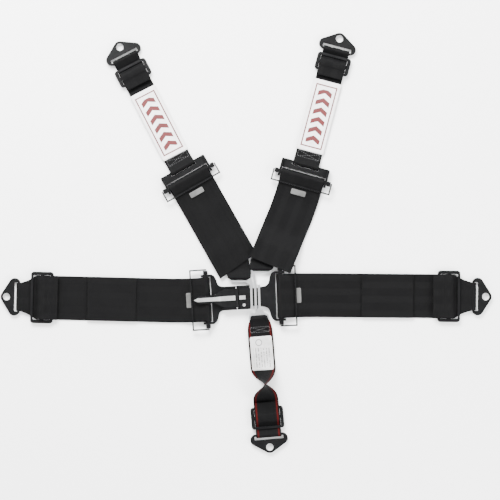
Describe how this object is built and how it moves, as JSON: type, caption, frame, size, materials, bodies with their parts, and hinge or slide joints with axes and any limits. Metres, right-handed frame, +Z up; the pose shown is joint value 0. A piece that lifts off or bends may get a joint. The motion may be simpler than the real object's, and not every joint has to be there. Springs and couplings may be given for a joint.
{
  "type": "racing harness",
  "caption": "Latch-and-link racing harness with lap belts, shoulder belts and a crotch belt, laid out flat, with bolt-in anchor brackets.",
  "frame": {"origin": "centre of the footprint, on the ground the harness lies on", "axes": "+X along the lap belts to the link side, +Y towards the shoulder belts, +Z up"},
  "size_m": [0.8526, 0.7292, 0.0449],
  "materials": {
    "black_webbing": "matt woven",
    "striped_webbing": "matt woven with red edge stripes",
    "black_metal": "satin black coat",
    "chrome": "bright",
    "polished_steel": "polished",
    "white_label": "woven label",
    "grey_tag": "woven tag"
  },
  "bodies": {
    "latch": {"latch_base": "black_metal", "hinge_pin": "polished_steel", "detent_spring": "polished_steel", "nose_strip": "polished_steel", "nose_rivet": "polished_steel"},
    "lever": {"latch_lever": "black_metal", "lever_rib": "polished_steel"},
    "link": {"link_plate": "black_metal"},
    "lap_left_bar": {"lap_left_slide_bar": "black_metal", "lap_left_wrap_webbing": "black_webbing", "lap_left_tag": "grey_tag"},
    "lap_left_bail": {"lap_left_bail": "black_metal"},
    "lap_left_belt": {"lap_left_webbing": "black_webbing", "lap_left_tail_webbing": "black_webbing"},
    "lap_left_three_bar": {"lap_left_three_bar": "black_metal"},
    "lap_left_bracket": {"lap_left_bracket": "black_metal"},
    "lap_right_bar": {"lap_right_slide_bar": "black_metal", "lap_right_wrap_webbing": "black_webbing", "lap_right_tag": "grey_tag"},
    "lap_right_bail": {"lap_right_bail": "black_metal"},
    "lap_right_belt": {"lap_right_webbing": "black_webbing", "lap_right_tail_webbing": "black_webbing"},
    "lap_right_three_bar": {"lap_right_three_bar": "black_metal"},
    "lap_right_bracket": {"lap_right_bracket": "black_metal"},
    "shoulder_left_loop": {"left_loop": "chrome"},
    "shoulder_left_lower": {"shoulder_left_lower_webbing": "black_webbing", "shoulder_left_tag": "grey_tag"},
    "shoulder_left_bar": {"shoulder_left_slide_bar": "black_metal"},
    "shoulder_left_adjuster": {"shoulder_left_adjuster": "black_metal"},
    "shoulder_left_bail": {"shoulder_left_bail": "black_metal"},
    "shoulder_left_upper": {"shoulder_left_upper_webbing": "black_webbing", "shoulder_left_sleeve": "white_label"},
    "shoulder_left_three_bar": {"shoulder_left_three_bar": "black_metal"},
    "shoulder_left_bracket": {"shoulder_left_bracket": "black_metal"},
    "shoulder_right_loop": {"right_loop": "chrome"},
    "shoulder_right_lower": {"shoulder_right_lower_webbing": "black_webbing", "shoulder_right_tag": "grey_tag"},
    "shoulder_right_bar": {"shoulder_right_slide_bar": "black_metal"},
    "shoulder_right_adjuster": {"shoulder_right_adjuster": "black_metal"},
    "shoulder_right_bail": {"shoulder_right_bail": "black_metal"},
    "shoulder_right_upper": {"shoulder_right_upper_webbing": "black_webbing", "shoulder_right_sleeve": "white_label"},
    "shoulder_right_three_bar": {"shoulder_right_three_bar": "black_metal"},
    "shoulder_right_bracket": {"shoulder_right_bracket": "black_metal"},
    "crotch_loop": {"crotch_loop": "chrome"},
    "crotch_belt": {"crotch_webbing": "striped_webbing", "crotch_label": "white_label"},
    "crotch_three_bar": {"crotch_three_bar": "black_metal"},
    "crotch_bracket": {"crotch_bracket": "black_metal"}
  },
  "joints": [
    {"name": "lever_open", "type": "hinge", "parent": "latch", "child": "lever", "pos_m": [-0.0163, -0.09513, 0.0119], "axis": [-0.061, 0.9981, 0], "range_deg": [0, 110]},
    {"name": "link_release", "type": "slide", "parent": "latch", "child": "link", "axis": [0.9994, 0.0349, 0], "range_m": [0, 0.075]},
    {"name": "lap_left_bar_travel", "type": "slide", "parent": "latch", "child": "lap_left_bar", "axis": [-0.9981, -0.061, 0], "range_m": [-0.001, 0.001]},
    {"name": "lap_left_fold", "type": "hinge", "parent": "lap_left_bar", "child": "lap_left_belt", "pos_m": [-0.10813, -0.10075, 0.0052], "axis": [-0.061, 0.9981, 0], "range_deg": [0, 75]},
    {"name": "lap_left_bail_lift", "type": "hinge", "parent": "lap_left_bar", "child": "lap_left_bail", "pos_m": [-0.068, -0.09829, 0.0067], "axis": [-0.061, 0.9981, 0], "range_deg": [0, 60]},
    {"name": "lap_left_three_bar_slip", "type": "slide", "parent": "lap_left_belt", "child": "lap_left_three_bar", "axis": [-0.9997, 0.0244, 0], "range_m": [-0.001, 0.001]},
    {"name": "lap_left_bracket_swing", "type": "hinge", "parent": "lap_left_belt", "child": "lap_left_bracket", "pos_m": [-0.39458, -0.09382, 0.00464], "axis": [0.0244, 0.9997, 0], "range_deg": [-6, 80]},
    {"name": "lap_right_bar_travel", "type": "slide", "parent": "link", "child": "lap_right_bar", "axis": [0.9994, 0.0349, 0], "range_m": [-0.001, 0.001]},
    {"name": "lap_right_fold", "type": "hinge", "parent": "lap_right_bar", "child": "lap_right_belt", "pos_m": [0.10007, -0.09059, 0.0052], "axis": [0.0349, -0.9994, 0], "range_deg": [0, 75]},
    {"name": "lap_right_bail_lift", "type": "hinge", "parent": "lap_right_bar", "child": "lap_right_bail", "pos_m": [0.0599, -0.09199, 0.0067], "axis": [0.0349, -0.9994, 0], "range_deg": [-1, 1]},
    {"name": "lap_right_three_bar_slip", "type": "slide", "parent": "lap_right_belt", "child": "lap_right_three_bar", "axis": [1, -0.0087, 0], "range_m": [-0.001, 0.001]},
    {"name": "lap_right_bracket_swing", "type": "hinge", "parent": "lap_right_belt", "child": "lap_right_bracket", "pos_m": [0.39457, -0.09312, 0.00464], "axis": [-0.0087, -1, 0], "range_deg": [-6, 80]},
    {"name": "shoulder_left_swing", "type": "hinge", "parent": "latch", "child": "shoulder_left_loop", "pos_m": [0.0094, -0.09376, 0.0067], "axis": [0, 0, 1], "range_deg": [0, 2]},
    {"name": "shoulder_left_lift", "type": "hinge", "parent": "shoulder_left_loop", "child": "shoulder_left_lower", "pos_m": [-0.0121, -0.05979, 0.00464], "axis": [1, 0, 0], "range_deg": [0, 75]},
    {"name": "shoulder_left_adjuster_tilt", "type": "hinge", "parent": "shoulder_left_lower", "child": "shoulder_left_bar", "pos_m": [-0.0996, 0.11221, 0.0067], "axis": [0.8704, 0.4924, 0], "range_deg": [0, 50]},
    {"name": "shoulder_left_bar_travel", "type": "slide", "parent": "shoulder_left_bar", "child": "shoulder_left_adjuster", "axis": [-0.4924, 0.8704, 0], "range_m": [-0.001, 0.001]},
    {"name": "shoulder_left_bail_lift", "type": "hinge", "parent": "shoulder_left_lower", "child": "shoulder_left_bail", "pos_m": [-0.0996, 0.11221, 0.0067], "axis": [-0.8704, -0.4924, 0], "range_deg": [0, 60]},
    {"name": "shoulder_left_upper_fold", "type": "hinge", "parent": "shoulder_left_adjuster", "child": "shoulder_left_upper", "pos_m": [-0.11034, 0.13118, 0.00464], "axis": [0.8704, 0.4924, 0], "range_deg": [0, 75]},
    {"name": "shoulder_left_three_bar_slip", "type": "slide", "parent": "shoulder_left_upper", "child": "shoulder_left_three_bar", "axis": [-0.4587, 0.8886, 0], "range_m": [-0.0006, 0.0006]},
    {"name": "shoulder_left_bracket_swing", "type": "hinge", "parent": "shoulder_left_upper", "child": "shoulder_left_bracket", "pos_m": [-0.2094, 0.32074, 0.00464], "axis": [0.8886, 0.4587, 0], "range_deg": [-6, 80]},
    {"name": "shoulder_right_swing", "type": "hinge", "parent": "latch", "child": "shoulder_right_loop", "pos_m": [0.0164, -0.09351, 0.0067], "axis": [0, 0, 1], "range_deg": [-1.2, 0]},
    {"name": "shoulder_right_lift", "type": "hinge", "parent": "shoulder_right_loop", "child": "shoulder_right_lower", "pos_m": [0.0264, -0.04429, 0.00464], "axis": [1, 0, 0], "range_deg": [0, 8]},
    {"name": "shoulder_right_adjuster_tilt", "type": "hinge", "parent": "shoulder_right_lower", "child": "shoulder_right_bar", "pos_m": [0.0981, 0.11431, 0.0067], "axis": [0.9636, -0.2672, 0], "range_deg": [0, 50]},
    {"name": "shoulder_right_bar_travel", "type": "slide", "parent": "shoulder_right_bar", "child": "shoulder_right_adjuster", "axis": [0.2672, 0.9636, 0], "range_m": [-0.001, 0.001]},
    {"name": "shoulder_right_bail_lift", "type": "hinge", "parent": "shoulder_right_lower", "child": "shoulder_right_bail", "pos_m": [0.0981, 0.11431, 0.0067], "axis": [-0.9636, 0.2672, 0], "range_deg": [0, 60]},
    {"name": "shoulder_right_upper_fold", "type": "hinge", "parent": "shoulder_right_adjuster", "child": "shoulder_right_upper", "pos_m": [0.10392, 0.13531, 0.00464], "axis": [0.9636, -0.2672, 0], "range_deg": [0, 75]},
    {"name": "shoulder_right_three_bar_slip", "type": "slide", "parent": "shoulder_right_upper", "child": "shoulder_right_three_bar", "axis": [0.2554, 0.9668, 0], "range_m": [-0.0006, 0.0006]},
    {"name": "shoulder_right_bracket_swing", "type": "hinge", "parent": "shoulder_right_upper", "child": "shoulder_right_bracket", "pos_m": [0.15667, 0.33362, 0.00464], "axis": [0.9668, -0.2554, 0], "range_deg": [-6, 80]},
    {"name": "crotch_swing", "type": "hinge", "parent": "latch", "child": "crotch_loop", "pos_m": [0.0227, -0.09329, 0.0067], "axis": [0, 0, 1], "range_deg": [-1.5, 1.5]},
    {"name": "crotch_fold", "type": "hinge", "parent": "crotch_loop", "child": "crotch_belt", "pos_m": [0.0224, -0.13039, 0.00464], "axis": [-0.9965, -0.0837, 0], "range_deg": [0, 75]},
    {"name": "crotch_three_bar_slip", "type": "slide", "parent": "crotch_belt", "child": "crotch_three_bar", "axis": [0.0837, -0.9965, 0], "range_m": [-0.001, 0.001]},
    {"name": "crotch_bracket_swing", "type": "hinge", "parent": "crotch_belt", "child": "crotch_bracket", "pos_m": [0.03941, -0.33298, 0.00464], "axis": [-0.9965, -0.0837, 0], "range_deg": [-6, 80]}
  ]
}
